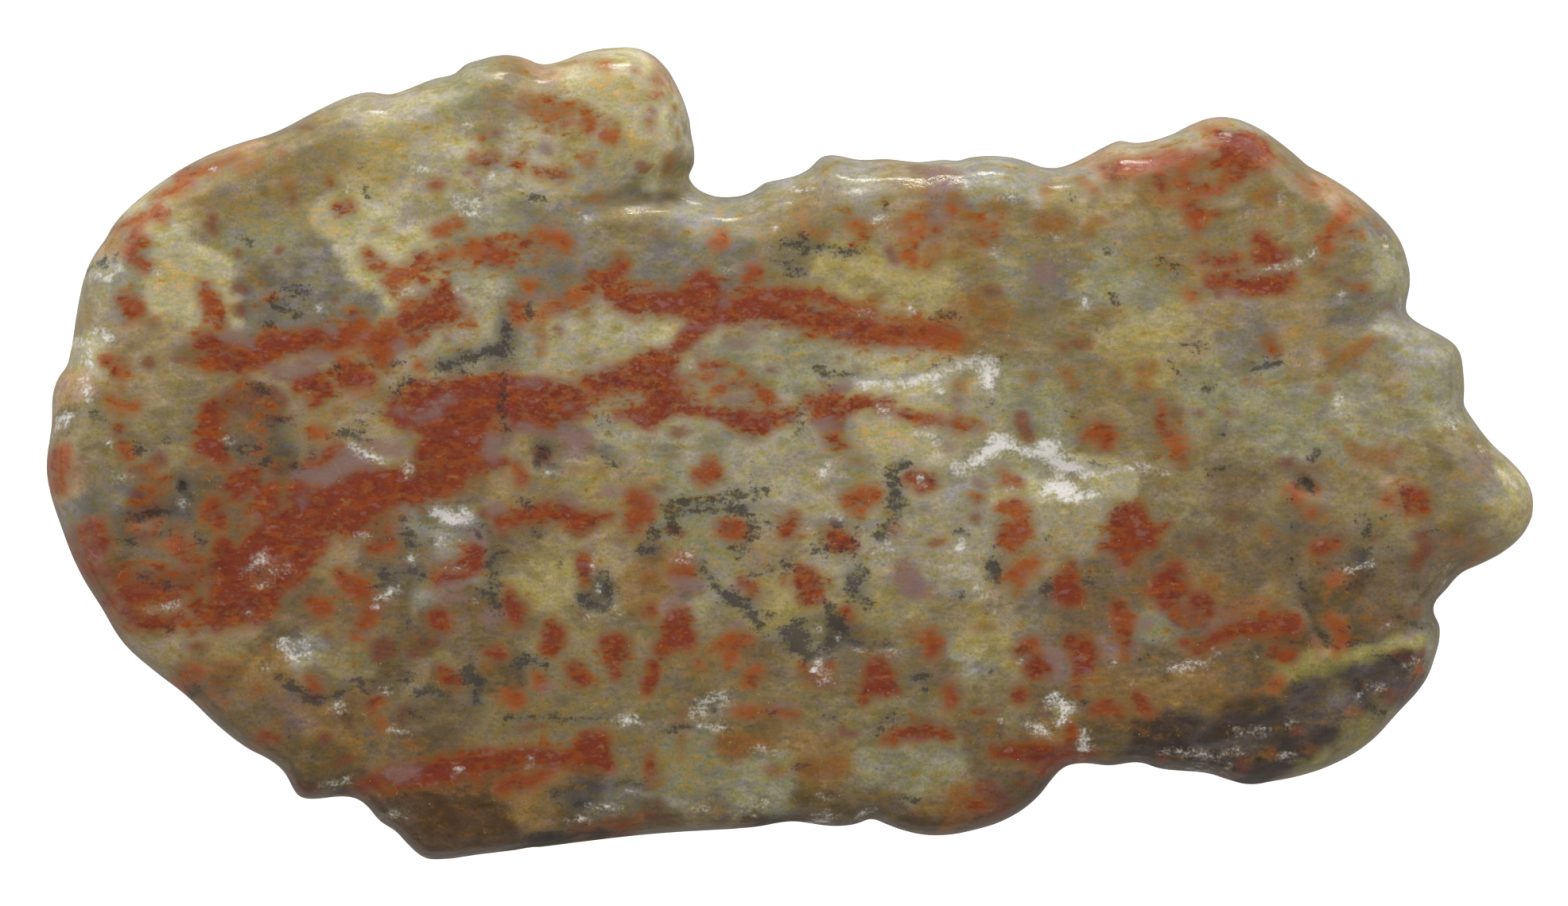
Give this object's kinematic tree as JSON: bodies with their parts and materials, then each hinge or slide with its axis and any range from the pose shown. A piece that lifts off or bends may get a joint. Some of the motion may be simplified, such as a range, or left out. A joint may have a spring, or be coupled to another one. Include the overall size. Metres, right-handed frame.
{
  "type": "dinosaur coprolite",
  "caption": "Polished slab of agatised coprolite with a lobed outline, rolled edges, small pits and a flat sawn back that it lies on.",
  "frame": {"origin": "on the flat back, below the middle of the slab's bounding box", "axes": "+X along the slab to the end with the blunt point, +Y across it to the edge with the deep notch, +Z out of the polished face"},
  "size_m": [0.0936, 0.051, 0.009],
  "materials": {
    "agatised_stone": "polished agatised fossil stone, mottled cream, ochre and brick red"
  },
  "bodies": {
    "root": {"coprolite": "agatised_stone"}
  },
  "joints": []
}
